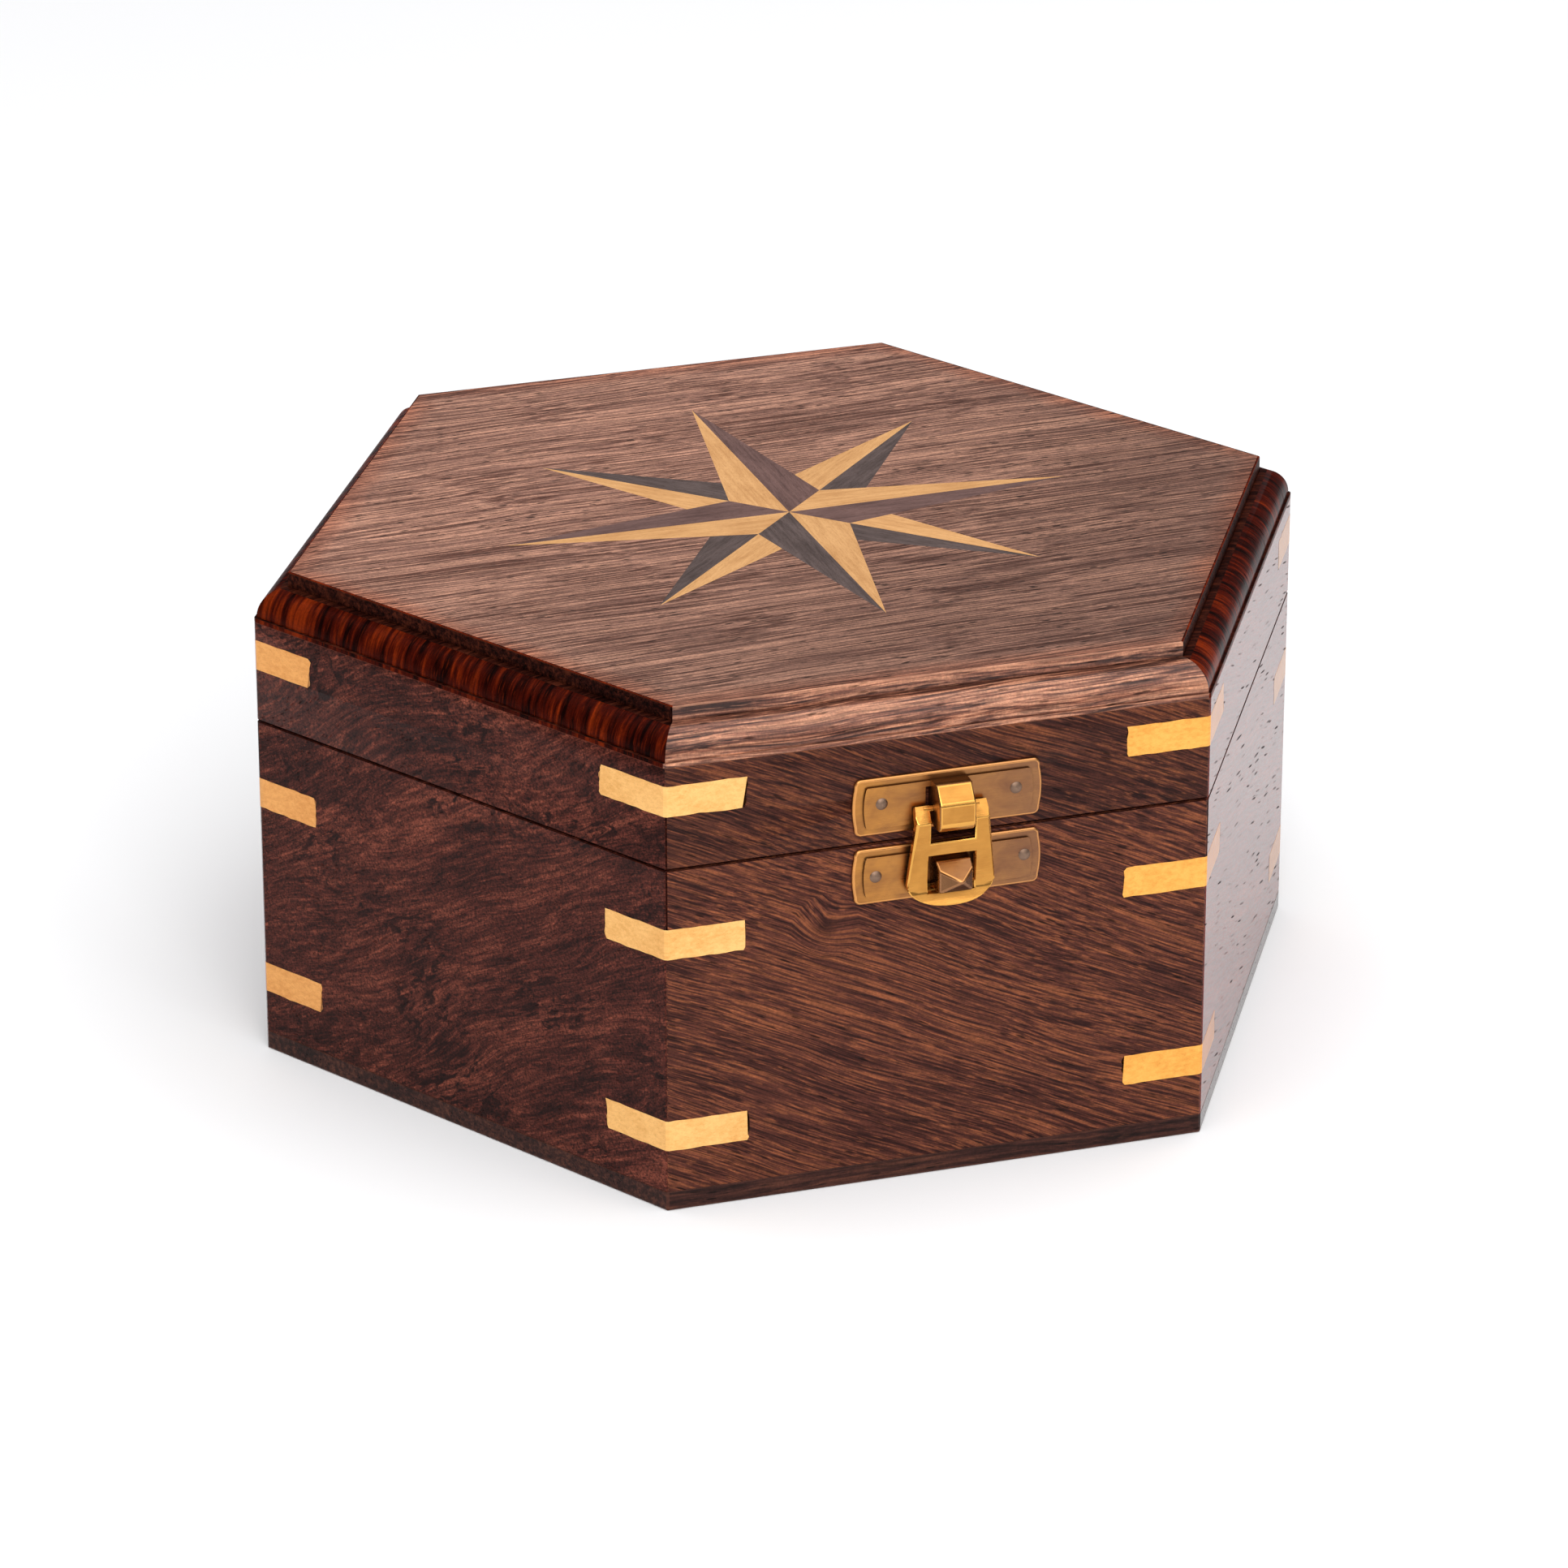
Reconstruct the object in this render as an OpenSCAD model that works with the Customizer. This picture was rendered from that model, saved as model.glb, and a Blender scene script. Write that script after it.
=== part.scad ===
// Six-sided wooden box: splined walls, moulded lid with an inlaid eight-point star,
// a brass hasp on the front (-Y) and two small butt hinges on the back (+Y).
// Millimetres. The origin is the middle of the underside and +Z is up.

/* [Case] */
// Distance between opposite outside walls
across_flats = 152.4; // [120:0.2:200]
// Height of the lid seam above the table
seam_z = 57.5; // [45:0.5:90]
// Thickness of the base board
base_t = 3.2; // [2:0.1:8]
// Thickness of the wall boards
wall_t = 9; // [7:0.5:12]
// Height of the lid's wall boards
lid_wall_h = 16.8; // [12:0.1:30]
// Thickness of the lid's top board
top_t = 7.8; // [6.5:0.1:12]

/* [Moulding] */
// How far the flat top stands in from the walls
flat_inset = 4.95; // [3:0.05:8]
// Height of the square edge above the lid walls
square_edge = 0.8; // [0.4:0.1:3]
// Radius of the convex round
round_r = 4.55; // [2:0.05:5]

/* [Splines] */
// Thickness of a spline
spline_t = 5; // [2:0.1:8]
// Length of a spline along each wall at the corner
spline_run = 13.2; // [6:0.1:17]
// How much the sawn lengths differ from corner to corner
spline_vary = 0.6; // [0:0.1:2]
// Height of the underside of the lowest splines
low_spline_z = 10.3; // [4:0.1:30]
// Height of the underside of the middle splines
mid_spline_z = 42.6; // [20:0.1:80]
// Height of the underside of the lid splines above the seam
lid_spline_z = 8.8; // [2:0.1:20]

/* [Star] */
// Reach of an average long point from the star's centre
star_long = 47.8; // [30:0.1:60]
// Reach of an average short point
star_short = 45.3; // [20:0.1:58]
// Distance of the inner corners from the star's two axes
star_waist = 7.7; // [4:0.1:14]
// Depth of the inlay
inlay_t = 1.6; // [0.8:0.1:3]

/* [Latch] */
// Sideways position of the latch's middle
latch_x = 1; // [-10:0.5:10]
// Width of both latch plates
plate_w = 30; // [20:0.5:45]
// Height of the upper plate
upper_plate_h = 9.4; // [7.6:0.1:14]
// Height of the lower plate
lower_plate_h = 9.2; // [7.6:0.1:14]
// Thickness of the plates
plate_t = 1; // [0.8:0.1:2]
// Width of the knuckle
knuckle_w = 5.9; // [4:0.1:6.4]
// Radius of the hasp's pivot bar
bar_r = 0.55; // [0.5:0.05:0.6]
// Gap between the bar and the knuckle's hole
running_gap = 0.05; // [0.01:0.01:0.1]

/* [Rear hinges] */
// Distance of each hinge from the middle of the back
hinge_x = 24; // [15:1:32]
// Width of a hinge
hinge_w = 20; // [12:1:24]
// Height of one leaf from the pivot
leaf_h = 10; // [8:0.5:14]
// Thickness of a leaf
leaf_t = 0.9; // [0.6:0.1:1.5]
// Outside radius of the barrel
barrel_r = 1.9; // [1.5:0.1:2.5]
// Radius of the hinge pin
pin_r = 0.9; // [0.6:0.05:1.2]

/* [Hidden] */
$fn = 72;
flat_r = across_flats / 2;
corner_r = flat_r / cos(30);
inner_r = (flat_r - wall_t) / cos(30);
lid_z = seam_z + lid_wall_h;
top_z = lid_z + top_t;
kerf_zs = [low_spline_z, mid_spline_z, seam_z + lid_spline_z];
star_x = 0.9;
// unevenness of the hand-cut points, going round from +X: reach, then turn in degrees
star_more = [0, 1.4, 1.8, -0.2, -0.3, -0.3, -1.9, -0.8];
star_turn = [1.5, 0.6, 0.8, 0.4, 0, 0.1, 0.9, 0.4];
shoulder = 0.19;
pivot_p = 1.9;
pivot_z = 62.9;
upper_mid = 63.7;
lower_mid = 52.2;
hinge_y = flat_r + barrel_r + 0.2;
nail_r = 0.55;
screw_r = 0.7;
screw_head_r = 1.5;

// ---------- case ----------

// kerf depth at corner c and level k: how far the sawn bottom is behind the corner
function run(c, k) = spline_run + spline_vary * sin(137 * c + 71 * k + 20) + (c == 3 ? -0.9 : 0);
function kerf(c, k) = run(c, k) * cos(60);

module at_corner(c) { rotate([0, 0, 60 * c]) children(); }

module kerf_cut(c, k) {
  at_corner(c)
    translate([corner_r - kerf(c, k), -20, kerf_zs[k]])
      cube([20, 40, spline_t]);
}

module spline(c, k) {
  d = kerf(c, k);
  at_corner(c)
    translate([0, 0, kerf_zs[k]])
      linear_extrude(spline_t)
        polygon([[corner_r, 0], [corner_r - d, d * tan(60)], [corner_r - d, -d * tan(60)]]);
}

// one mitred board, from corner c to corner c + 1
module board(c, z, h, levels) {
  difference() {
    at_corner(c)
      translate([0, 0, z])
        linear_extrude(h)
          polygon([
            [inner_r, 0],
            [corner_r, 0],
            [corner_r * cos(60), corner_r * sin(60)],
            [inner_r * cos(60), inner_r * sin(60)]
          ]);
    for (k = levels) {
      kerf_cut(c, k);
      kerf_cut((c + 1) % 6, k);
    }
  }
}

module lower_wall(c) { color("#5a3426") board(c, base_t, seam_z - base_t, [0, 1]); }
module lid_wall(c) { color("#5f3828") board(c, seam_z, lid_wall_h, [2]); }
module lower_splines(c) { color("#e2ae6c") { spline(c, 0); spline(c, 1); } }
module lid_spline(c) { color("#e2ae6c") spline(c, 2); }

module base_panel() {
  color("#4a2c22") rotate([0, 0, 0]) cylinder(r = corner_r, h = base_t, $fn = 6);
}

// ---------- star ----------

function reach(i) = (i % 2 == 0 ? star_long : star_short) + star_more[i];
function tip(i) = let (a = 45 * i + star_turn[i]) [reach(i) * cos(a), reach(i) * sin(a)];
// the inner corner between long point 2j and long point 2j + 2
function waist(j) = let (a = 90 * j + 45) [star_waist * sqrt(2) * cos(a), star_waist * sqrt(2) * sin(a)];
function near_shoulder(j) = waist(j) + shoulder * (tip(2 * j) - waist(j));
function far_shoulder(j) = waist(j) + shoulder * (tip((2 * j + 2) % 8) - waist(j));

module inlay(points, wood) {
  color(wood)
    translate([star_x, 0, top_z - inlay_t])
      linear_extrude(inlay_t)
        polygon(points);
}

// j counts the long points and the short points round from +X
module long_light(j) { inlay([[0, 0], tip(2 * j), waist(j)], "#e0ac6a"); }
module long_dark(j) { inlay([[0, 0], waist((j + 3) % 4), tip(2 * j)], "#3c3230"); }
module short_dark(j) { inlay([waist(j), near_shoulder(j), tip(2 * j + 1)], "#3c3230"); }
module short_light(j) { inlay([waist(j), tip(2 * j + 1), far_shoulder(j)], "#e0ac6a"); }

module star_pocket() {
  translate([star_x, 0, top_z - inlay_t])
    linear_extrude(inlay_t + 1)
      polygon([for (j = [0:3]) each [tip(2 * j), near_shoulder(j), tip(2 * j + 1), far_shoulder(j)]]);
}

// ---------- top board ----------

// everything outside the moulded edge, seen along one side: x is in from the wall, y is height
module edge_waste() {
  difference() {
    translate([-5, lid_z + square_edge])
      square([5 + flat_inset, 20]);
    translate([flat_inset, lid_z + square_edge])
      circle(r = round_r);
    translate([flat_inset - round_r + 0.25, lid_z + square_edge - 1])
      square([round_r, 1.2]);
  }
}

module lid_top_panel() {
  color("#7a5040")
    difference() {
      translate([0, 0, lid_z])
        cylinder(r = corner_r, h = top_t, $fn = 6);
      for (c = [0:5])
        rotate([0, 0, 60 * c + 30])
          translate([flat_r, corner_r, 0])
            rotate([90, 0, 0])
              linear_extrude(2 * corner_r)
                mirror([1, 0])
                  edge_waste();
      star_pocket();
    }
}

// ---------- latch ----------

// x sideways, y height, z proud of the front wall
module on_front() {
  translate([latch_x, -flat_r, 0])
    rotate([90, 0, 0])
      children();
}

// a profile of [proud, height] points drawn sideways, w wide, its middle at x
module sideways(w, x) {
  translate([latch_x + x - w / 2, -flat_r, 0])
    rotate([90, 0, 90])
      linear_extrude(w)
        mirror([1, 0])
          children();
}

// a rectangle with rounded corners and slightly bowed ends
module plate_shape(w, h, r) {
  square([w - 2 * r, h], center = true);
  square([w, h - 2 * r], center = true);
  for (x = [-1, 1])
    for (y = [-1, 1])
      translate([x * (w / 2 - r), y * (h / 2 - r)])
        circle(r = r);
  intersection() {
    circle(r = w / 2 + 0.35);
    square([w + 2, h - 2 * r], center = true);
  }
}

module stepped_plate(mid, h) {
  translate([0, mid, 0]) {
    linear_extrude(plate_t * 0.6)
      plate_shape(plate_w, h, 1.1);
    linear_extrude(plate_t)
      plate_shape(plate_w - 3.4, h - 2.6, 0.4);
  }
}

upper_nails = [[-10.8, 64.3], [10.9, 64.1]];
lower_nails = [[-11.7, 52.3], [12.4, 52.7]];

module nail_holes(at) {
  for (p = at)
    translate([p[0], p[1], -7])
      cylinder(r = nail_r, h = 9);
}

module nail(p) {
  head_r = 1;
  head_h = 0.4;
  ball_r = (head_r * head_r + head_h * head_h) / (2 * head_h);
  translate([p[0], p[1], -7])
    cylinder(r = nail_r, h = 7 + plate_t);
  translate([p[0], p[1], plate_t])
    intersection() {
      translate([0, 0, head_h - ball_r])
        sphere(r = ball_r);
      cylinder(r = head_r + 1, h = head_h + 1);
    }
}

module upper_nail_pair() { color("#8d8176") on_front() for (p = upper_nails) nail(p); }
module lower_nail_pair() { color("#8d8176") on_front() for (p = lower_nails) nail(p); }

// the knuckle seen from the side, bent out of the plate at its top edge
module knuckle_profile() {
  difference() {
    polygon([
      [0, 67.1],
      [1, 67.25],
      [3.3, 67.25],
      [5.5, 64.6],
      [5.5, 61.1],
      [4.7, 59.9],
      [2.2, 59.9],
      [0, 61.6]
    ]);
    translate([pivot_p, pivot_z])
      circle(r = bar_r + running_gap);
  }
}

module latch_upper_plate() {
  color("#c8953f") {
    on_front()
      difference() {
        stepped_plate(upper_mid, upper_plate_h);
        translate([-3.75, 59.9, -1])
          cube([7.5, 6.3, 4]);
        nail_holes(upper_nails);
      }
    sideways(knuckle_w, 0)
      knuckle_profile();
  }
}

module latch_lower_plate() {
  color("#c8953f")
    on_front()
      difference() {
        stepped_plate(lower_mid, lower_plate_h);
        nail_holes(lower_nails);
        translate([0, lower_mid, -1])
          cylinder(r = 1.2, h = 4);
      }
}

// the catch seen from above, then from the side
module catch_plan() {
  polygon([[-3, plate_t], [3, plate_t], [2.75, 4.8], [0.4, 7], [-2.75, 4.8]]);
}

module catch_side() {
  polygon([[-2.6, plate_t], [2.7, plate_t], [2.4, 3.4], [1.3, 4.9], [-0.1, 7], [-2.45, 4.8]]);
}

module latch_catch() {
  color("#b98a3c")
    on_front()
      translate([0, lower_mid, 0]) {
        intersection() {
          translate([0, 10, 0])
            rotate([90, 0, 0])
              linear_extrude(20)
                catch_plan();
          translate([-10, 0, 0])
            rotate([90, 0, 90])
              linear_extrude(20)
                catch_side();
        }
        cylinder(r = 1.2, h = plate_t + 0.5);
      }
}

// the hasp seen from the side: a turned-up lip, flat frame, folded-back arm ends
module hasp_profile() {
  polygon([
    [2.75, 49.9],
    [2.95, 49.1],
    [3.4, 48.2],
    [4.1, 47.3],
    [5, 46.4],
    [4.3, 45.6],
    [3.2, 46.6],
    [2.3, 47.7],
    [1.6, 49],
    [2.3, 60.7],
    [1.3, 62.1],
    [1.3, 63.1],
    [2, 63.5],
    [3.6, 61.1]
  ]);
}

// the hasp seen from the front, at its full size in height
module hasp_outline() {
  difference() {
    polygon(concat(
      [[5.1, 70], [-5.2, 70], [-5.9, 62.4]],
      [for (a = [180:7.5:360]) [
        -0.1 + 7.1 * sign(cos(a)) * pow(abs(cos(a)), 0.87),
        50.9 - 3.64 * pow(abs(sin(a)), 0.87)
      ]],
      [[5.8, 62.4]]
    ));
    translate([-3.6, 57.6])
      square([7.2, 20]);
    translate([-3.85, 49.1])
      square([7.5, 6.3]);
  }
}

module hasp() {
  color("#d9a548") {
    intersection() {
      sideways(30, 0)
        hasp_profile();
      on_front()
        linear_extrude(10)
          hasp_outline();
    }
    sideways(9, 0)
      translate([pivot_p, pivot_z])
        circle(r = bar_r);
  }
}

// ---------- rear hinges ----------

// s = -1 or 1 picks the hinge; x sideways, y height, z proud of the back wall
module on_back(s) {
  translate([s * hinge_x, flat_r, 0])
    rotate([90, 0, 180])
      children();
}

module barrel(s, x0, w, r) {
  translate([s * hinge_x + x0, hinge_y, seam_z])
    rotate([0, 90, 0])
      cylinder(r = r, h = w);
}

third = hinge_w / 3;
screw_spots = [[-6.5, 5.8], [6.5, 5.8]];

// up = 1 for the lid's leaf, -1 for the body's leaf
module screw_shape(p, up) {
  translate([p[0], seam_z + up * p[1], -5.5])
    cylinder(r = screw_r, h = 5.5 + leaf_t);
  translate([p[0], seam_z + up * p[1], 0])
    cylinder(r1 = screw_r, r2 = screw_head_r, h = leaf_t);
}

module screw(p, up) {
  difference() {
    screw_shape(p, up);
    translate([p[0] - 2, seam_z + up * p[1] - 0.2, leaf_t - 0.35])
      cube([4, 0.4, 1]);
  }
}

module leaf(s, up) {
  difference() {
    on_back(s)
      translate([-hinge_w / 2, up > 0 ? seam_z : seam_z - leaf_h, 0])
        cube([hinge_w, leaf_h, leaf_t]);
    on_back(s)
      for (p = screw_spots)
        screw_shape(p, up);
  }
}

module body_leaf(s) {
  color("#c0913f")
    difference() {
      union() {
        leaf(s, -1);
        barrel(s, -hinge_w / 2, third, barrel_r);
        barrel(s, hinge_w / 2 - third, third, barrel_r);
      }
      translate([s * hinge_x - third / 2 - 0.1, flat_r - 1, seam_z - 2.3])
        cube([third + 0.2, 10, 10]);
      barrel(s, -hinge_w, 2 * hinge_w, pin_r);
    }
}

module lid_leaf(s) {
  color("#c0913f")
    difference() {
      union() {
        leaf(s, 1);
        barrel(s, -third / 2 + 0.1, third - 0.2, barrel_r);
      }
      for (x = [-hinge_w, third / 2 - 0.1])
        translate([s * hinge_x + x, flat_r - 1, seam_z - 5])
          cube([hinge_w - third / 2 + 0.1, 10, 7.3]);
      barrel(s, -hinge_w, 2 * hinge_w, pin_r + running_gap);
    }
}

module hinge_pin(s) {
  color("#a87c35")
    barrel(s, -hinge_w / 2 - 0.4, hinge_w + 0.8, pin_r);
}

module body_screws() { color("#b58a45") for (s = [-1, 1]) on_back(s) for (p = screw_spots) screw(p, -1); }
module lid_screws() { color("#b58a45") for (s = [-1, 1]) on_back(s) for (p = screw_spots) screw(p, 1); }

// ---------- pieces cut for the brass ----------

module front_lower_board() {
  difference() {
    lower_wall(4);
    on_front()
      nail_holes(lower_nails);
  }
}

module front_lid_board() {
  difference() {
    lid_wall(4);
    on_front()
      nail_holes(upper_nails);
  }
}

module back_lower_board() {
  difference() {
    lower_wall(1);
    for (s = [-1, 1])
      on_back(s)
        for (p = screw_spots)
          screw_shape(p, -1);
  }
}

module back_lid_board() {
  difference() {
    lid_wall(1);
    for (s = [-1, 1])
      on_back(s)
        for (p = screw_spots)
          screw_shape(p, 1);
  }
}

// ---------- nodes ----------
module lower_wall_right_back() { lower_wall(0); }
module lower_wall_back() { back_lower_board(); }
module lower_wall_left_back() { lower_wall(2); }
module lower_wall_left_front() { lower_wall(3); }
module lower_wall_front() { front_lower_board(); }
module lower_wall_right_front() { lower_wall(5); }
module lid_wall_right_back() { lid_wall(0); }
module lid_wall_back() { back_lid_board(); }
module lid_wall_left_back() { lid_wall(2); }
module lid_wall_left_front() { lid_wall(3); }
module lid_wall_front() { front_lid_board(); }
module lid_wall_right_front() { lid_wall(5); }
module lower_splines_right() { lower_splines(0); }
module lower_splines_back_right() { lower_splines(1); }
module lower_splines_back_left() { lower_splines(2); }
module lower_splines_left() { lower_splines(3); }
module lower_splines_front_left() { lower_splines(4); }
module lower_splines_front_right() { lower_splines(5); }
module lid_spline_right() { lid_spline(0); }
module lid_spline_back_right() { lid_spline(1); }
module lid_spline_back_left() { lid_spline(2); }
module lid_spline_left() { lid_spline(3); }
module lid_spline_front_left() { lid_spline(4); }
module lid_spline_front_right() { lid_spline(5); }
module star_east_light() { long_light(0); }
module star_east_dark() { long_dark(0); }
module star_north_light() { long_light(1); }
module star_north_dark() { long_dark(1); }
module star_west_light() { long_light(2); }
module star_west_dark() { long_dark(2); }
module star_south_light() { long_light(3); }
module star_south_dark() { long_dark(3); }
module star_northeast_light() { short_light(0); }
module star_northeast_dark() { short_dark(0); }
module star_northwest_light() { short_light(1); }
module star_northwest_dark() { short_dark(1); }
module star_southwest_light() { short_light(2); }
module star_southwest_dark() { short_dark(2); }
module star_southeast_light() { short_light(3); }
module star_southeast_dark() { short_dark(3); }
module latch_upper_nails() { upper_nail_pair(); }
module latch_lower_nails() { lower_nail_pair(); }
module hinge_left_body_leaf() { body_leaf(-1); }
module hinge_left_lid_leaf() { lid_leaf(-1); }
module hinge_left_pin() { hinge_pin(-1); }
module hinge_right_body_leaf() { body_leaf(1); }
module hinge_right_lid_leaf() { lid_leaf(1); }
module hinge_right_pin() { hinge_pin(1); }
module hinge_body_screws() { body_screws(); }
module hinge_lid_screws() { lid_screws(); }

base_panel();
lower_wall_right_back();
lower_wall_back();
lower_wall_left_back();
lower_wall_left_front();
lower_wall_front();
lower_wall_right_front();
lid_wall_right_back();
lid_wall_back();
lid_wall_left_back();
lid_wall_left_front();
lid_wall_front();
lid_wall_right_front();
lid_top_panel();
lower_splines_right();
lower_splines_back_right();
lower_splines_back_left();
lower_splines_left();
lower_splines_front_left();
lower_splines_front_right();
lid_spline_right();
lid_spline_back_right();
lid_spline_back_left();
lid_spline_left();
lid_spline_front_left();
lid_spline_front_right();
star_east_light();
star_east_dark();
star_north_light();
star_north_dark();
star_west_light();
star_west_dark();
star_south_light();
star_south_dark();
star_northeast_light();
star_northeast_dark();
star_northwest_light();
star_northwest_dark();
star_southwest_light();
star_southwest_dark();
star_southeast_light();
star_southeast_dark();
latch_upper_plate();
latch_lower_plate();
latch_catch();
hasp();
latch_upper_nails();
latch_lower_nails();
hinge_left_body_leaf();
hinge_left_lid_leaf();
hinge_left_pin();
hinge_right_body_leaf();
hinge_right_lid_leaf();
hinge_right_pin();
hinge_body_screws();
hinge_lid_screws();
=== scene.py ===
# %% [markdown]
# # A six-sided inlaid wooden box
#
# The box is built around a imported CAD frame. The frame has every board, spline, inlay and brass
# part in its true place and moves on two hinges: the lid on the case, and the hasp on the lid.
# This script gives the pieces softened edges and finishes, and lights them.

# %% Load the frame
import math
import random

import bmesh
import bpy
from mathutils import Matrix, Vector


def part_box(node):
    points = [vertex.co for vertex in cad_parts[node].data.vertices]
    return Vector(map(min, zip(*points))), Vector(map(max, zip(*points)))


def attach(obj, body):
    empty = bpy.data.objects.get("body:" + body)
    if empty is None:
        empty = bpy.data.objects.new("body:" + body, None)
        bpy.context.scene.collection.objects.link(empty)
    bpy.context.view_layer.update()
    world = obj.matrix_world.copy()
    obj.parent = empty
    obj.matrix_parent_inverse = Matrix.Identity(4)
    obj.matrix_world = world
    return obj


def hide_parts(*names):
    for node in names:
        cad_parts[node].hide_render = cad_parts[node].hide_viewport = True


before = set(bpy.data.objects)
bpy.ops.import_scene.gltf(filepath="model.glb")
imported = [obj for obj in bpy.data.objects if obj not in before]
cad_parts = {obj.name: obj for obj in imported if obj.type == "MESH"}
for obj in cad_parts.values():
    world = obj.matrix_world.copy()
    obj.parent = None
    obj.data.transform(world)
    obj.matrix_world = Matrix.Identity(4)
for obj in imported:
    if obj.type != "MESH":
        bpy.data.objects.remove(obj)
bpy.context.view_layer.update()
MM = 0.001

# %% [markdown]
# ## Measures
#
# All later steps take their sizes from the frame, so a piece never has to be fitted by eye. The
# case is a regular hexagon: its corner radius is half its longest side, and one pair of corners
# lies on the X axis. `SIDES` and `CORNERS` name the walls and the corners in the order of their
# angles, anticlockwise from the X axis as seen from above.

# %% Measures taken from the frame
base_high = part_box("base_panel")[1]
CORNER = base_high.x
FLAT = base_high.y
BASE_TOP = base_high.z
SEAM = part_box("lid_wall_front")[0].z
LID_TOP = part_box("lid_wall_front")[1].z
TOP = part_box("lid_top_panel")[1].z
SIDES = ["right_back", "back", "left_back", "left_front", "front", "right_front"]
CORNERS = ["right", "back_right", "back_left", "left", "front_left", "front_right"]
WALL_ANGLES = [math.radians(30 + 60 * k) for k in range(6)]
print(f"corner radius {CORNER / MM:.1f} mm, seam at {SEAM / MM:.1f} mm, top at {TOP / MM:.1f} mm")

# %% [markdown]
# ## Camera
#
# A long lens from over a metre away keeps the box's edges nearly parallel. The camera is described
# by where it stands round the box (azimuth) and above it (elevation), and by how far off it is.
# It is slid up a little, so that the box sits in the middle of the frame.

# %% Camera
AZIMUTH, ELEVATION = math.radians(-18.255), math.radians(23.421)
AWAY, SLID_RIGHT, SLID_UP = 1.17290, 0.00003, 0.03169
FOCAL_MM = 162.80
back = Vector((math.sin(AZIMUTH) * math.cos(ELEVATION),
               -math.cos(AZIMUTH) * math.cos(ELEVATION), math.sin(ELEVATION)))
right = Vector((math.cos(AZIMUTH), math.sin(AZIMUTH), 0))
up = back.cross(right)

camera = bpy.data.objects.new("camera", bpy.data.cameras.new("camera"))
bpy.context.scene.collection.objects.link(camera)
camera.data.sensor_width = 36
camera.data.lens = FOCAL_MM
camera.data.clip_end = 50
turn = Matrix((right, up, back)).transposed().to_4x4()
camera.matrix_world = Matrix.Translation(back * AWAY + right * SLID_RIGHT + up * SLID_UP) @ turn
bpy.context.scene.camera = camera
print("camera at", [round(v, 3) for v in camera.location])

# %% [markdown]
# ## Floor and light
#
# The setting is a plain pale sheet under soft studio light. A wide softbox hangs overhead and a
# little forward. A small key light stands in front at the left, and a weaker fill at the right.
# The sky is dim: the lid and the mouldings mirror it, and that keeps them deep in colour.

# %% A sheet of floor
floor_mesh = bmesh.new()
bmesh.ops.create_grid(floor_mesh, x_segments=1, y_segments=1, size=4)
floor_data = bpy.data.meshes.new("floor")
floor_mesh.to_mesh(floor_data)
floor = bpy.data.objects.new("floor", floor_data)
bpy.context.scene.collection.objects.link(floor)
floor_look = bpy.data.materials.new("pale paper")
floor_look.use_nodes = True
paper = floor_look.node_tree.nodes["Principled BSDF"]
paper.inputs["Base Color"].default_value = (0.93, 0.93, 0.94, 1)
paper.inputs["Roughness"].default_value = 0.9
paper.inputs["Specular IOR Level"].default_value = 0.1
floor_data.materials.append(floor_look)

# %% Softboxes and sky
def softbox(name, place, aim, width, height, watts, tint=(1, 1, 1)):
    lamp = bpy.data.lights.new(name, "AREA")
    lamp.shape = "RECTANGLE"
    lamp.size, lamp.size_y = width, height
    lamp.energy = watts
    lamp.color = tint
    obj = bpy.data.objects.new(name, lamp)
    bpy.context.scene.collection.objects.link(obj)
    obj.location = place
    obj.rotation_euler = (Vector(aim) - Vector(place)).to_track_quat("-Z", "Y").to_euler()


softbox("key", (-0.35, -1.45, 0.9), (0, 0, 0.04), 1.0, 0.8, 12, (1, 0.985, 0.96))
softbox("fill", (0.95, -1.65, 1.05), (0, 0, 0.05), 1.3, 1.0, 4.5)
softbox("overhead", (0.25, -0.65, 2.2), (0.25, -0.65, 0), 4.0, 4.0, 88)
sky = bpy.data.worlds.new("even sky")
sky.use_nodes = True
sky.node_tree.nodes["Background"].inputs["Color"].default_value = (0.95, 0.97, 1, 1)
sky.node_tree.nodes["Background"].inputs["Strength"].default_value = 0.2
bpy.context.scene.world = sky
bpy.context.scene.view_settings.view_transform = "Standard"

# %% [markdown]
# ## Helpers for materials
#
# A finish is a small network of nodes. `make` makes one node, sets its fields and joins its
# inputs, and `add` hands on its first output, so that each finish below reads as a list of steps.
# An input is called by its name, or by i and its number. Every pattern is worked out from the
# Object coordinates: the pieces sit at the origin, so one pattern runs on across a seam as the
# grain of one sawn board does.

# %% Add a node to a finish
def new_look(name):
    look = bpy.data.materials.new(name)
    look.use_nodes = True
    return look, look.node_tree, look.node_tree.nodes["Principled BSDF"]


def make(tree, kind, fields=None, **inputs):
    made = tree.nodes.new(kind)
    for field, value in (fields or {}).items():
        setattr(made, field, value)
    for key, value in inputs.items():
        spot = made.inputs[int(key[1:])] if key[1:].isdigit() else made.inputs[key.replace("_", " ")]
        if isinstance(value, bpy.types.NodeSocket):
            tree.links.new(value, spot)
        else:
            spot.default_value = value
    return made


def add(tree, kind, fields=None, **inputs):
    return make(tree, kind, fields, **inputs).outputs[0]


def vectors(tree, what, a, b):
    return add(tree, "ShaderNodeVectorMath", {"operation": what}, i0=a, i1=b)


def maths(tree, what, a, b=0.0, c=0.0, clamp=False):
    return add(tree, "ShaderNodeMath", {"operation": what, "use_clamp": clamp}, i0=a, i1=b, i2=c)


def stretched(tree, vector, along, across):
    """A pattern's own units: one unit is `along` mm with the grain and `across` mm across it."""
    size = (1 / (along * MM), 1 / (across * MM), 1 / (across * MM))
    return vectors(tree, "MULTIPLY", vector, size)


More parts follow.
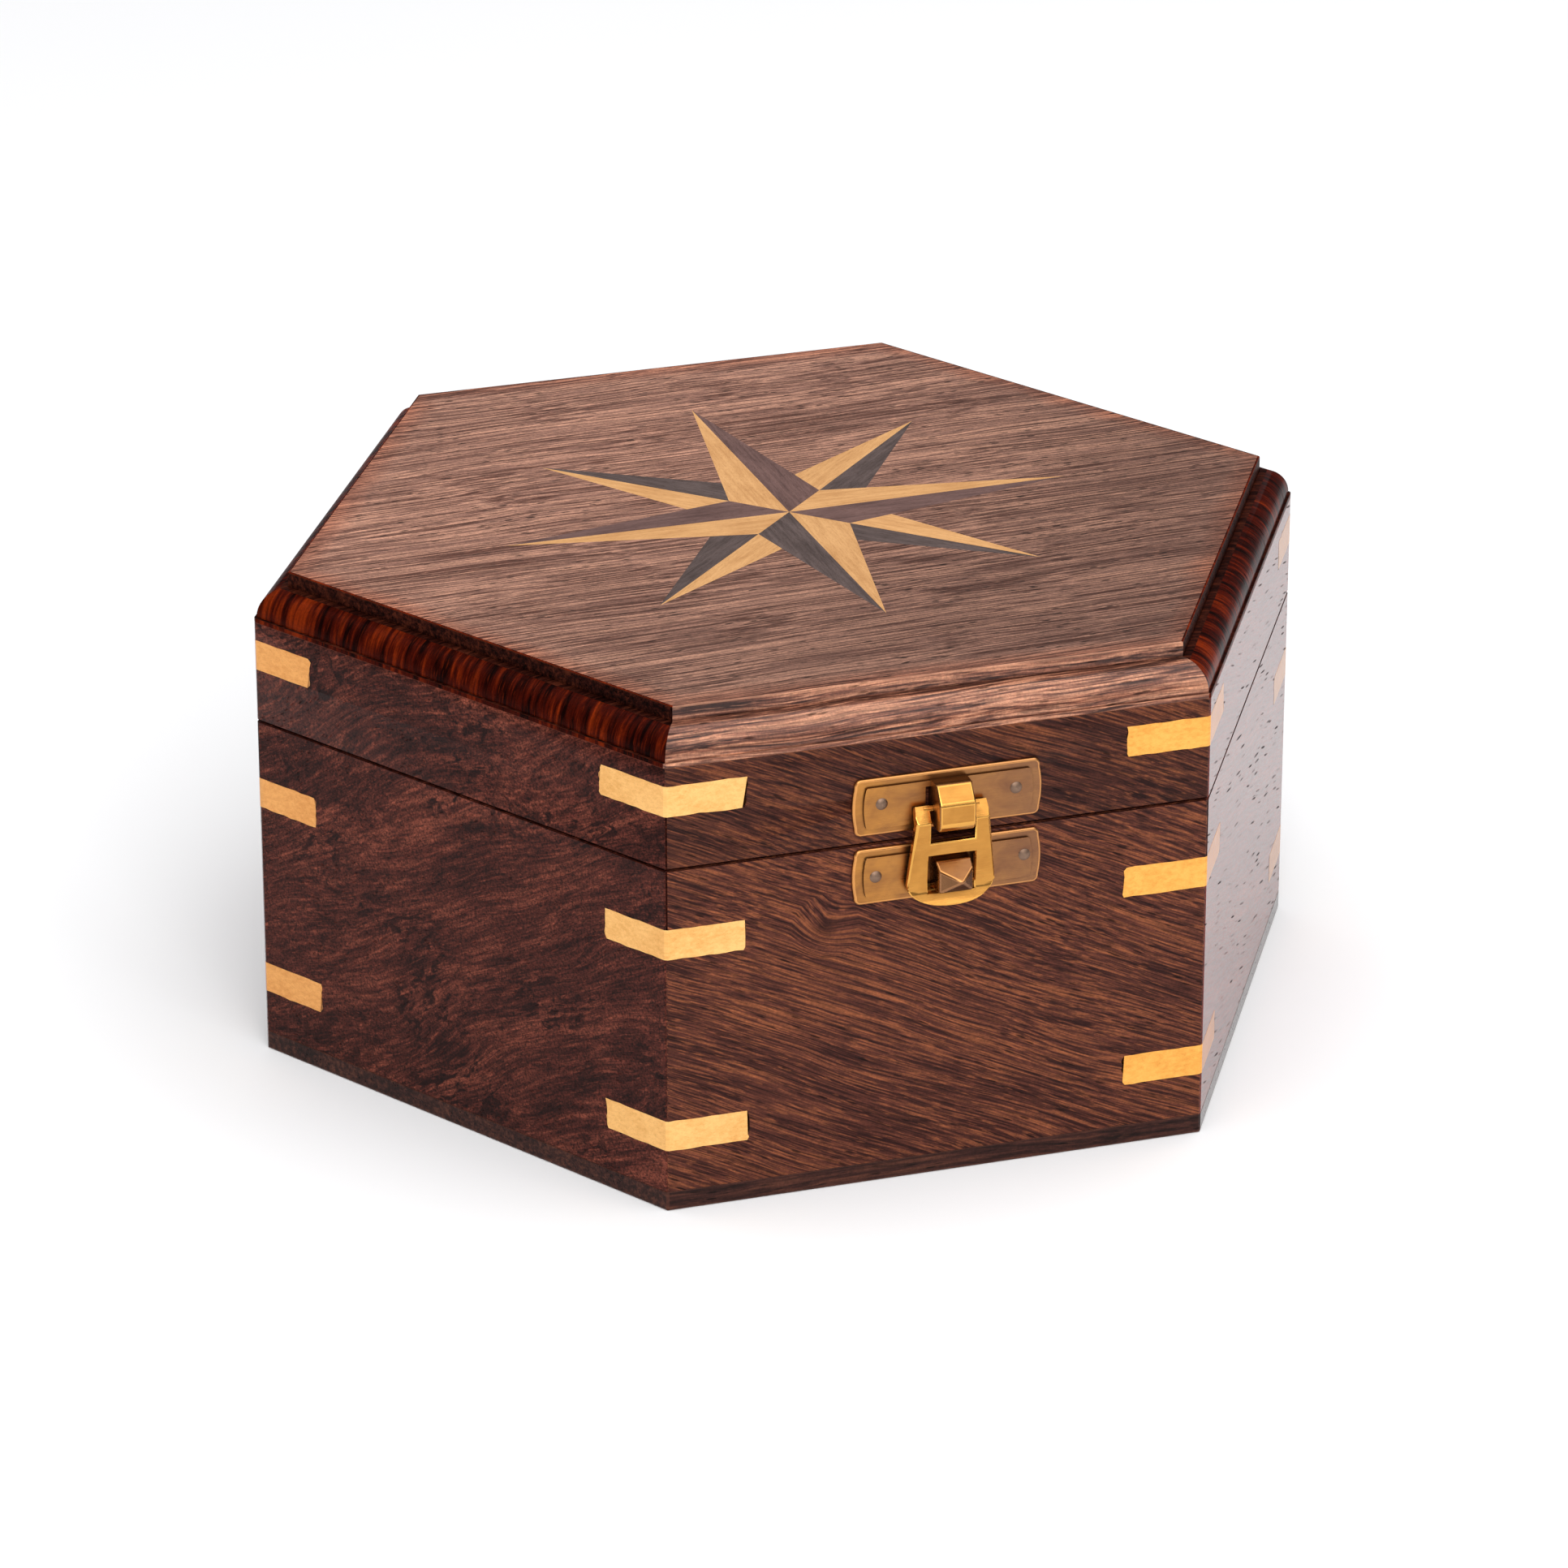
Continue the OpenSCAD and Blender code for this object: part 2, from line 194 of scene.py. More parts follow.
def cloud(tree, vector, detail=2.0, rough=0.5, distortion=0.0):
    return add(tree, "ShaderNodeTexNoise", {"noise_dimensions": "3D"}, Vector=vector, Scale=1.0,
               Detail=detail, Roughness=rough, Distortion=distortion)


def ramp(tree, value, stops):
    made = tree.nodes.new("ShaderNodeValToRGB")
    keys = made.color_ramp.elements
    while len(keys) < len(stops):
        keys.new(0.5)
    for key, (place, colour) in zip(keys, stops):
        key.position = place
        key.color = (*colour, 1)
    tree.links.new(value, made.inputs[0])
    return made.outputs[0]


def grade(tree, value, low, high, to_low=0.0, to_high=1.0):
    return add(tree, "ShaderNodeMapRange", {"clamp": True}, i0=value, i1=low, i2=high,
               i3=to_low, i4=to_high)


def wear_and_highlight_edge(tree):
    """1 on the bevelled faces that a piece marks for wear and a painted highlight, 0 elsewhere."""
    return make(tree, "ShaderNodeAttribute", {"attribute_name": "wear_and_highlight"}).outputs["Fac"]


def low_angle(tree):
    """Rises to 1 where the surface is seen from a low angle."""
    return make(tree, "ShaderNodeLayerWeight", None, Blend=0.5).outputs["Facing"]


def along_grain(tree, place, facing, slope, shift, on_top):
    """Turn the pattern so that its X runs along the grain of a wall, or of a board lying flat."""
    turned = (0, math.radians(slope), math.radians(90 + facing))
    if on_top:
        turned = (0, 0, math.radians(slope))
    return add(tree, "ShaderNodeMapping", {"vector_type": "TEXTURE"}, Vector=place,
               Location=[v * MM for v in shift], Rotation=turned)


def add_mix(tree, how, amount, a, b):
    made = tree.nodes.new("ShaderNodeMix")
    made.data_type = "RGBA"
    made.blend_type = how
    for spot, value in ((0, amount), (6, a), (7, b)):
        if isinstance(value, bpy.types.NodeSocket):
            tree.links.new(value, made.inputs[spot])
        else:
            made.inputs[spot].default_value = value if spot == 0 else (*value, 1)
    return made.outputs[2]


# %% [markdown]
# ## Dark hardwood
#
# The boards are a dark, open-pored rosewood kind of timber. Broad soft bands of darker
# heartwood come first, then thin streaks that wander along the grain, pale flecks, fine fibres,
# short dark pores, and a film of oil or lacquer. All are noise stretched along the grain. Each
# board gets its own direction, and the latch wall also has a small pin knot that the streaks
# bend round: there the pattern is pushed sideways by an amount that fades with distance.

# %% The grain's own space
def grain_space(tree, facing, slope, shift, wander, knot, on_top, deep=False):
    """Coordinates whose X runs along the grain, with the lines wandering a little.

    `deep` draws the pattern out upwards, so that stripes run up the round of a moulding."""
    place = tree.nodes.new("ShaderNodeTexCoord").outputs["Object"]
    grain = along_grain(tree, place, facing, slope, shift, on_top)
    if deep:
        grain = vectors(tree, "MULTIPLY", grain, (1, 1, 0.12))
    drift = make(tree, "ShaderNodeTexNoise", None, Vector=stretched(tree, grain, 60, 30),
                 Scale=1.0, Detail=2.0, Roughness=0.5).outputs["Color"]
    drift = vectors(tree, "SUBTRACT", drift, (0.5, 0.5, 0.5))
    drift = vectors(tree, "MULTIPLY", drift, (0, wander * 2 * MM, wander * 2 * MM))
    grain = vectors(tree, "ADD", grain, drift)
    near = None
    if knot:
        spot, spread, push = knot
        gap = make(tree, "ShaderNodeVectorMath", {"operation": "DISTANCE"}, i0=place,
                   i1=[v * MM for v in spot]).outputs["Value"]
        near = grade(tree, gap, 0.0, spread * MM, 1.0, 0.0)
        bend = add(tree, "ShaderNodeCombineXYZ", None,
                   Z=maths(tree, "MULTIPLY", near, push * MM))
        grain = vectors(tree, "ADD", grain, bend)
    return place, grain, near


def reach_out(tree, place):
    """How far from the middle of the box a spot lies, square to its nearest wall."""
    farthest = 0.0
    for angle in WALL_ANGLES[:3]:
        along = make(tree, "ShaderNodeVectorMath", {"operation": "DOT_PRODUCT"}, i0=place,
                     i1=(math.cos(angle), math.sin(angle), 0)).outputs["Value"]
        farthest = maths(tree, "MAXIMUM", maths(tree, "ABSOLUTE", along), farthest)
    return farthest


# %% [markdown]
# The recipe below takes three tones, where the board faces and how its grain slopes, and then
# how strong and how long each mark is. Sizes are pairs in mm, along the grain and across it.
# Some boards need more: `blots` makes burry patches, `rim` reddens a board near its outer edge,
# and a fade of painted light makes it paler from one side to the other, where more light would fall.

# %% The recipe for a hardwood board
def hardwood(name, dark, middle, light, facing=270, slope=0, shift=(0, 0, 0), streak=(14, 0.5),
             band=(70, 7), streak_weight=0.9, band_weight=0.35, veins=0.5, flecks=0.3, blots=0.0,
             fibre=0.25, speckle=0.3, pores=0.75, pore_size=(4.5, 0.75), wander=3.0, knot=None,
             rough=(0.38, 0.5), gloss=0.12, sheen=0.9, lacquer=0.0, lacquer_rough=0.2,
             shine_from=(0.66, 0.8), lit_side_fade=None, rim=False, on_top=False, deep=False):
    look, tree, shader = new_look(name)
    place, grain, near = grain_space(tree, facing, slope, shift, wander, knot, on_top, deep)

    # bands and streaks give the tone
    lines = cloud(tree, stretched(tree, grain, *streak), 3.0, 0.62)
    bands = cloud(tree, stretched(tree, grain, *band), 2.0, 0.55)
    tone = maths(tree, "MULTIPLY_ADD", lines, streak_weight, 0.5 - 0.5 * (streak_weight + band_weight))
    tone = maths(tree, "MULTIPLY_ADD", bands, band_weight, tone)
    colour = ramp(tree, tone, [(0.34, dark), (0.5, middle), (0.66, light)])

    # dark veins, pale flecks and burry blots
    thin = cloud(tree, stretched(tree, grain, streak[0] * 1.6, streak[1] * 0.9), 2.0, 0.5)
    colour = add_mix(tree, "MIX", maths(tree, "MULTIPLY", grade(tree, thin, 0.53, 0.66), veins), colour,
                     [v * 0.7 for v in dark])
    glint = cloud(tree, stretched(tree, grain, 3.2, 0.3), 1.0)
    colour = add_mix(tree, "MIX", maths(tree, "MULTIPLY", grade(tree, glint, 0.6, 0.72), flecks), colour,
                     [min(1, v * 1.25) for v in light])
    if blots:
        spots = cloud(tree, stretched(tree, grain, 5, 2.2), 2.0, 0.6, 1.4)
        patch = cloud(tree, stretched(tree, grain, 22, 16), 1.0)
        spots = maths(tree, "MULTIPLY", grade(tree, spots, 0.5, 0.62), grade(tree, patch, 0.42, 0.6))
        colour = add_mix(tree, "MIX", maths(tree, "MULTIPLY", spots, blots), colour,
                         [v * 0.8 for v in dark])

    # fibres, speckle and pores
    hairs = cloud(tree, stretched(tree, grain, 3.2, 0.22), 2.0, 0.6)
    colour = add_mix(tree, "MULTIPLY", fibre, colour,
                     ramp(tree, hairs, [(0.3, (0.35, 0.33, 0.33)), (0.7, (1.6, 1.5, 1.4))]))
    grit = cloud(tree, stretched(tree, place, 0.42, 0.42), 2.0, 0.7)
    colour = add_mix(tree, "MULTIPLY", speckle, colour,
                     ramp(tree, grit, [(0.3, (0.2, 0.2, 0.2)), (0.7, (1.85, 1.75, 1.7))]))
    cell = make(tree, "ShaderNodeTexVoronoi", {"feature": "F1"}, Scale=1.0,
                Vector=stretched(tree, grain, *pore_size)).outputs["Distance"]
    here = grade(tree, cell, 0.15, 0.26, 1, 0)
    some = grade(tree, cloud(tree, stretched(tree, grain, 9, 3), 1.0), 0.42, 0.6)
    pits = maths(tree, "MULTIPLY", here, maths(tree, "MULTIPLY_ADD", some, 0.75, 0.25))
    colour = add_mix(tree, "MIX", maths(tree, "MULTIPLY", pits, pores), colour,
                     [v * 0.25 for v in dark])

    # the knot, the redder rim, painted light on one side, and the edges lightened for wear and as a
    # painted highlight
    if near:
        colour = add_mix(tree, "MULTIPLY", grade(tree, near, 0.55, 0.95), colour, (0.45, 0.4, 0.4))
    if rim:
        edge = maths(tree, "MULTIPLY_ADD", maths(tree, "SUBTRACT", bands, 0.5), 5 * MM,
                     reach_out(tree, place))
        redder = grade(tree, edge, FLAT - 9.5 * MM, FLAT - 5 * MM, 0, 0.65)
        colour = add_mix(tree, "MULTIPLY", redder, colour, (1.05, 0.66, 0.48))
    # painted light: the board grows paler towards one side, standing in for more light falling there
    if lit_side_fade:
        lean, start, end, least, most = lit_side_fade
        parts = make(tree, "ShaderNodeSeparateXYZ", None, Vector=place).outputs
        across = maths(tree, "MULTIPLY_ADD", parts["X"], lean, parts["Y"])
        painted_light_level = grade(tree, across, start * MM, end * MM, least, most)
        colour = add_mix(tree, "MULTIPLY", 1.0, colour,
                         add(tree, "ShaderNodeCombineXYZ", None, X=painted_light_level, Y=painted_light_level, Z=painted_light_level))
    # the marked edges are lighter: real wear, and a painted highlight where the arris would catch light
    colour = add_mix(tree, "MIX", maths(tree, "MULTIPLY", wear_and_highlight_edge(tree), 0.3), colour,
                     [min(1, v * 1.5) for v in light])
    tree.links.new(colour, shader.inputs["Base Color"])

    # the pores are rough pits, and the streaks stand up a little
    tree.links.new(maths(tree, "ADD", grade(tree, hairs, 0.3, 0.7, *rough),
                         maths(tree, "MULTIPLY", pits, 0.3)), shader.inputs["Roughness"])
    height = maths(tree, "MULTIPLY_ADD", pits, -1.0, maths(tree, "MULTIPLY", hairs, 0.35))
    height = maths(tree, "MULTIPLY_ADD", lines, 0.25, height)
    relief = add(tree, "ShaderNodeBump", None, Height=height, Strength=0.5, Distance=0.00012)
    tree.links.new(relief, shader.inputs["Normal"])
    shader.inputs["Specular IOR Level"].default_value = gloss

    # rubbed oil shines only at a low angle, and the pores stay dull
    film = grade(tree, low_angle(tree), *shine_from, lacquer, max(lacquer, sheen))
    film = maths(tree, "MULTIPLY", film, maths(tree, "MULTIPLY_ADD", pits, -0.9, 1.0), clamp=True)
    tree.links.new(film, shader.inputs["Coat Weight"])
    shader.inputs["Coat Roughness"].default_value = lacquer_rough
    return look


# %% [markdown]
# Each board has its own tones and slope. The two boards of the latch wall share one pattern, the
# lid's a quarter darker. The moulded edge shows the wood cut across: striped red on five sides,
# and brown on the latch side, a brighter copy that paints the light falling there. The sunk line
# and the ledge are nearly black with painted shade, except on the latch side.

# %% The walls' and the base's finishes
FRONT_TONES = ((0.024, 0.0056, 0.0044), (0.084, 0.0245, 0.0160), (0.225, 0.071, 0.030))
FRONT_GRAIN = dict(facing=270, slope=25, streak=(16, 0.4), band=(60, 6), band_weight=0.25,
                   knot=((-18.5, -76, 44.5), 5.5, 2.6), flecks=0.5, veins=0.7, fibre=0.5,
                   streak_weight=1.05)
front_wood = hardwood("rosewood, latch wall", *FRONT_TONES, **FRONT_GRAIN)
LID_TONES = [[v * 0.74 for v in tone] for tone in FRONT_TONES]
front_lid_wood = hardwood("rosewood, lid's latch wall", *LID_TONES, **FRONT_GRAIN)
left_wood = hardwood("rosewood, left wall", (0.022, 0.0055, 0.0045), (0.064, 0.0160, 0.0115),
                     (0.150, 0.042, 0.027), facing=210, slope=-24, shift=(31, 12, 7),
                     streak=(9, 0.9), band=(26, 7), streak_weight=0.7, band_weight=0.5, veins=0.4,
                     blots=1.0, fibre=0.7, speckle=1.0, pores=0.3, pore_size=(2.2, 0.5), wander=10,
                     flecks=0.35, gloss=0.08)
right_wood = hardwood("rosewood, right wall", (0.075, 0.016, 0.015), (0.160, 0.036, 0.030),
                      (0.26, 0.070, 0.050), facing=330, slope=17, shift=(-20, 9, 40),
                      streak=(14, 0.7), streak_weight=0.35, band_weight=0.2, flecks=0.0, veins=0.3,
                      pores=1.0, pore_size=(12, 0.85), fibre=0.5, lacquer_rough=0.25)
back_wood = hardwood("rosewood, back wall", (0.032, 0.010, 0.008), (0.100, 0.032, 0.021),
                     (0.23, 0.084, 0.038), facing=90, slope=-9, shift=(50, 3, 21), band=(80, 8))
left_back_wood = hardwood("rosewood, left back wall", (0.030, 0.009, 0.007), (0.085, 0.026, 0.017),
                          (0.19, 0.066, 0.034), facing=150, slope=6, shift=(5, 60, 33))
right_back_wood = hardwood("rosewood, right back wall", (0.032, 0.010, 0.008), (0.092, 0.028, 0.019),
                           (0.21, 0.074, 0.036), facing=30, slope=-14, shift=(71, 22, 3))
base_wood = hardwood("rosewood, base board", (0.014, 0.006, 0.005), (0.040, 0.014, 0.011),
                     (0.090, 0.032, 0.020), slope=3, on_top=True, streak=(16, 0.8), shift=(0, 0, 17))
WALL_WOODS = dict(zip(SIDES, [right_back_wood, back_wood, left_back_wood, left_wood, front_wood,
                              right_wood]))
print("wall and base finishes:", len(WALL_WOODS) + 2)

# %% The lid board's finishes
# the lid board is painted paler towards the back and the left, where more light would fall
top_wood = hardwood("rosewood, lid board", (0.080, 0.032, 0.022), (0.220, 0.115, 0.088),
                    (0.42, 0.225, 0.158), slope=3, on_top=True, streak=(60, 0.4), band=(90, 9),
                    streak_weight=1.45, veins=0.8, fibre=0.5, wander=2.5, pores=1.0,
                    pore_size=(3.6, 0.8), rough=(0.4, 0.5), gloss=0.2, sheen=0,
                    lit_side_fade=(-0.8, -50, 50, 0.80, 1.27), rim=True)
EDGE_TONES = {"red": ((0.005, 0.0005, 0.0003), (0.046, 0.0034, 0.0010), (0.170, 0.018, 0.0022)),
              "dark": ((0.004, 0.0008, 0.0005), (0.020, 0.0036, 0.0022), (0.060, 0.013, 0.006)),
              "brown": ((0.036, 0.011, 0.007), (0.185, 0.068, 0.042), (0.50, 0.235, 0.140))}
# painted shade: a near-black finish for the moulding's step and ledge and for the faces beside the seam
painted_shade_wood = hardwood("rosewood, painted shade", *EDGE_TONES["dark"], slope=3, on_top=True,
                     streak=(12, 0.8), speckle=0.4, rough=(0.4, 0.5), gloss=0.02, sheen=0.0)
# painted light: the latch side's moulding is a brighter, browner copy of the red edge, for the light
# that falls on it
painted_light_edge = hardwood("rosewood, moulded edge, painted light", *EDGE_TONES["brown"], slope=1, on_top=True,
                      streak=(26, 0.5), band=(60, 4), streak_weight=1.3, band_weight=0.6, wander=3,
                      fibre=0.5, pores=0.7, pore_size=(4.2, 0.9), rough=(0.3, 0.4), lacquer=0.45,
                      sheen=0.5, lacquer_rough=0.25)
edge_woods = []
for k, side in enumerate(SIDES):
    # the latch side takes the brighter copy as painted light
    if side == "front":
        edge_woods.append(painted_light_edge)
        continue
    edge_woods.append(hardwood(
        f"rosewood, moulded edge, {side}", *EDGE_TONES["red"], slope=38 + 60 * k, on_top=True,
        deep=True, streak=(12, 1.5), band=(30, 5), streak_weight=0.85, band_weight=0.7, veins=0.6,
        wander=2, fibre=0.2, speckle=0.25, flecks=0.25, pores=0.3, pore_size=(4.2, 0.9),
        rough=(0.35, 0.45), gloss=0.02, sheen=0.2 if side == "right_front" else 0.0,
        shine_from=(0.69, 0.75), lacquer_rough=0.1))
print("moulding finishes:", len(edge_woods) + 1)

# %% [markdown]
# ## Helpers for pieces
#
# A CAD node is made of loose triangles with knife-sharp edges. To soften it, a copy is merged
# into whole faces and its edges are bevelled: light then catches every arris, as it does on
# sanded wood and on stamped brass. The small bevelled faces are marked, and the finishes
# brighten there: partly for real wear, and partly as a painted highlight along the arris.

# %% Copy, soften and place a piece
def cad_copy(node):
    bm = bmesh.new()
    bm.from_mesh(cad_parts[node].data)
    bmesh.ops.remove_doubles(bm, verts=bm.verts, dist=0.001 * MM)
    bmesh.ops.dissolve_limit(bm, angle_limit=math.radians(0.4), verts=bm.verts, edges=bm.edges)
    return bm


def soften(bm, width, pick=None, segments=2, over=25, mark=True, clamp=True):
    """Bevel the edges that turn by more than `over` degrees and that `pick` accepts."""
    wear_and_highlight = bm.faces.layers.float.get("wear_and_highlight") or bm.faces.layers.float.new("wear_and_highlight")
    edges = [e for e in bm.edges if len(e.link_faces) == 2
             and math.degrees(e.calc_face_angle(0)) > over and (pick is None or pick(e))]
    made = bmesh.ops.bevel(bm, geom=edges, offset=width * MM, offset_type="OFFSET",
                           segments=segments, profile=0.5, affect="EDGES", material=-1,
                           clamp_overlap=clamp)
    # the small bevel faces are marked: the finishes lighten them for wear and as a painted highlight
    for face in made["faces"]:
        if mark and face.calc_area() < (6 * MM) ** 2:
            face[wear_and_highlight] = 1


def sand_corners(bm, depth=0.16):
    """Take the knife edge off each upright corner of the hexagon, square to the corner."""
    for c in range(6):
        out = Vector((math.cos(math.pi / 3 * c), math.sin(math.pi / 3 * c), 0))
        cut = bmesh.ops.bisect_plane(bm, geom=bm.verts[:] + bm.edges[:] + bm.faces[:],
                                     dist=1e-7, plane_co=out * (CORNER - depth * MM),
                                     plane_no=out, clear_outer=True)
        edges = [g for g in cut["geom_cut"] if isinstance(g, bmesh.types.BMEdge)]
        if edges:
            bmesh.ops.holes_fill(bm, edges=edges, sides=0)


def place_piece(bm, name, body, nodes, look, smooth=None, even=False):
    """Turn a bmesh into a finished piece that stands for some CAD nodes."""
    bmesh.ops.recalc_face_normals(bm, faces=bm.faces[:])
    data = bpy.data.meshes.new(name)
    bm.to_mesh(data)
    bm.free()
    obj = bpy.data.objects.new(name, data)
    bpy.context.scene.collection.objects.link(obj)
    for one in look if isinstance(look, list) else [look]:
        data.materials.append(one)
    if smooth:
        data.shade_smooth()
        data.set_sharp_from_angle(angle=math.radians(smooth))
    if even:
        obj.modifiers.new("even shading", "WEIGHTED_NORMAL").keep_sharp = True
    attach(obj, body)
    if nodes:
        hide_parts(*nodes)
    return obj


# %% [markdown]
# ## Walls and base
#
# The case and the lid were sawn from one box, so each lid board stands over its case board and
# has the same grain. The boards meet in glued mitres. A hairline of air, about a third of a
# millimetre, is left between case and lid, and the faces beside it get a dark finish as painted
# shade: together they draw the line of the seam.

# %% Ease the boards
SEAM_AIR = 0.18  # mm taken off each side of the seam


def from_middle(spot):
    """How far from the middle a spot lies, square to its nearest wall."""
    return max(spot.x * math.cos(a) + spot.y * math.sin(a) for a in WALL_ANGLES)


def level_edge(e, height):
    """True for an edge that lies level at this height, in the outer face of a wall."""
    middle = (e.verts[0].co + e.verts[1].co) / 2
    if abs(e.verts[0].co.z - e.verts[1].co.z) > 0.01 * MM or abs(middle.z - height) >= 0.01 * MM:
        return False
    return any(abs(middle.x * math.cos(a) + middle.y * math.sin(a) - FLAT) < 0.02 * MM
               for a in WALL_ANGLES)


for side in SIDES:
    for kind, body, slot in (("lower_wall", "box", "case_wood"), ("lid_wall", "lid", "lid_wood")):
        node = f"{kind}_{side}"
        board = cad_copy(node)
        air = (-SEAM_AIR if kind == "lower_wall" else SEAM_AIR) * MM
        for v in board.verts:
            if abs(v.co.z - SEAM) < 0.01 * MM:
                v.co.z += air
        if kind == "lower_wall":
            soften(board, 0.10, lambda e: level_edge(e, BASE_TOP), segments=1, mark=False)
        else:
            soften(board, 0.07, lambda e: level_edge(e, LID_TOP), segments=1)
        soften(board, 0.10, lambda e: level_edge(e, SEAM + air), segments=1, mark=False)
        # the faces beside the seam take the dark finish: painted shade along the seam
        for f in board.faces:
            middle = f.calc_center_median()
            by_seam = abs(middle.z - SEAM) < 0.3 * MM and from_middle(middle) > FLAT - 0.2 * MM
            f.material_index = 1 if by_seam else 0
        sand_corners(board)
        look = front_lid_wood if node == "lid_wall_front" else WALL_WOODS[side]
        place_piece(board, f"{node}_eased", body, [node], [look, painted_shade_wood])

base = cad_copy("base_panel")
soften(base, 0.35, lambda e: level_edge(e, 0.0), segments=2)
soften(base, 0.10, lambda e: level_edge(e, BASE_TOP), segments=1)
sand_corners(base)
place_piece(base, "base_panel_eased", "box", ["base_panel"], base_wood)
print("boards eased:", 2 * len(SIDES) + 1)

# %% [markdown]
# ## The moulded lid board
#
# The edge of the lid board was run past a router: a square edge flush with the walls, a thin
# ledge, a convex round, a narrow sunk line, and an upright step up to the flat top. In Blender
# the same section is swept by growing one hexagon ring by ring. Because every ring is a scaled
# hexagon, the corners mitre themselves.

# %% The section of the moulding, as (in from the wall, up from the lid walls) in mm
step_in, square_edge, round_r = 4.95, 0.8, 4.55
thick = (TOP - LID_TOP) / MM
section = [(0.07, 0.0), (0.0, 0.07), (0.0, 0.70), (0.03, 0.77), (0.10, 0.80), (0.42, 0.80)]
for k in range(19):
    around = math.radians(5 + 4.65 * k)
    section.append((step_in - round_r * math.cos(around), square_edge + round_r * math.sin(around)))
section += [(4.84, 5.22), (4.95, 5.20), (4.95, thick - 0.28), (5.0, thick - 0.10),
            (5.1, thick - 0.02), (5.28, thick)]
print("rings in the moulding:", len(section))

# %% The star's outline
def top_corners(node):
    """The three corners of a star piece, as they lie on the lid."""
    spots = []
    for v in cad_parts[node].data.vertices:
        if abs(v.co.z - TOP) < 0.01 * MM and all((v.co - s).length > 0.01 * MM for s in spots):
            spots.append(v.co.copy())
    return spots


centre = min(top_corners("star_east_light"), key=lambda v: v.length)
LONG = ["east", "north", "west", "south"]
SHORT = ["northeast", "northwest", "southwest", "southeast"]
outline = []
for long_point, short_point in zip(LONG, SHORT):
    tip = max(top_corners(f"star_{long_point}_light"), key=lambda v: (v - centre).length)
    waist = min(top_corners(f"star_{short_point}_dark"), key=lambda v: (v - centre).length)
    short_tip = max(top_corners(f"star_{short_point}_dark"), key=lambda v: (v - centre).length)
    near = [v for v in top_corners(f"star_{short_point}_dark")
            if min((v - waist).length, (v - short_tip).length) > 0.1 * MM][0]
    far = [v for v in top_corners(f"star_{short_point}_light")
           if min((v - waist).length, (v - short_tip).length) > 0.1 * MM][0]
    outline += [tip, near, short_tip, far]

# %% Sweep the section round, and leave a star-shaped hole
lid_board = bmesh.new()
bmesh.ops.create_circle(lid_board, cap_ends=True, radius=1, segments=6,
                        matrix=Matrix.Rotation(math.radians(30), 4, "Z"))
ring = lid_board.edges[:]
widest = 1.0
for level, (inset, rise) in enumerate(section):
    if level > 0:
        grown = bmesh.ops.extrude_edge_only(lid_board, edges=ring)["geom"]
        ring = [g for g in grown if isinstance(g, bmesh.types.BMEdge)
                and all(v in grown for v in g.verts)]
    corners = list({v for e in ring for v in e.verts})
    wanted = (FLAT - inset * MM) / math.cos(math.radians(30))
    bmesh.ops.scale(lid_board, vec=(wanted / widest, wanted / widest, 1), verts=corners)
    bmesh.ops.translate(lid_board, vec=(0, 0, LID_TOP + rise * MM - corners[0].co.z), verts=corners)
    widest = wanted
star_edge = [lid_board.verts.new(v) for v in outline]
loop = [lid_board.edges.new((star_edge[i], star_edge[(i + 1) % 16])) for i in range(16)]
bmesh.ops.triangle_fill(lid_board, use_beauty=True, use_dissolve=False, edges=ring + loop,
                        normal=(0, 0, 1))
print("lid board faces:", len(lid_board.faces))

# %% [markdown]
# The pocket's sides and floor get a dark glue finish, which shows as hairlines between the
# star pieces. It is a little deeper than the pieces, so that they never share a face with it.
# The moulding's faces are then given their finishes by how high they lie and which way they face.

# %% Sink the pocket
POCKET_DEEP, STAR_THICK, GLUE_LINE = 1.6, 1.5, 0.065  # mm
walls = bmesh.ops.extrude_edge_only(lid_board, edges=loop)["geom"]
rim = [g for g in walls if isinstance(g, bmesh.types.BMVert)]
bmesh.ops.translate(lid_board, vec=(0, 0, -POCKET_DEEP * MM), verts=rim)
low_edges = [g for g in walls if isinstance(g, bmesh.types.BMEdge)
             and all(v in rim for v in g.verts)]
made = bmesh.ops.triangle_fill(lid_board, use_beauty=True, use_dissolve=False, edges=low_edges,
                               normal=(0, 0, 1))
for f in [g for g in walls + made["geom"] if isinstance(g, bmesh.types.BMFace)]:
    f.material_index = 1

# %% Mark the edges for wear and painted highlight, and lay out the finishes
LEDGE_LOW, LEDGE_HIGH, SUNK_LINE = 0.71, 0.81, 5.21  # mm above the lid walls
wear_and_highlight = lid_board.faces.layers.float.new("wear_and_highlight")
for f in lid_board.faces:
    rise = (f.calc_center_median().z - LID_TOP) / MM
    # the arris, the ledge's edge and the foot are marked for wear and a painted highlight
    if rise > thick - 0.29 and f.normal.z < 0.99 or 0.69 < rise < 0.79 or rise < 0.04:
        f[wear_and_highlight] = 1 if f.normal.z > -0.9 and f.material_index == 0 else 0
sand_corners(lid_board)
top_glue, glue_tree, glue_shader = new_look("dark glue")
glue_shader.inputs["Roughness"].default_value = 0.7
glue_place = glue_tree.nodes.new("ShaderNodeTexCoord").outputs["Object"]
specks = cloud(glue_tree, stretched(glue_tree, glue_place, 0.6, 0.6), 3.0, 0.6)
glue_tones = ramp(glue_tree, specks, [(0.3, (0.008, 0.005, 0.004)), (0.7, (0.05, 0.025, 0.015))])
glue_tree.links.new(glue_tones, glue_shader.inputs["Base Color"])
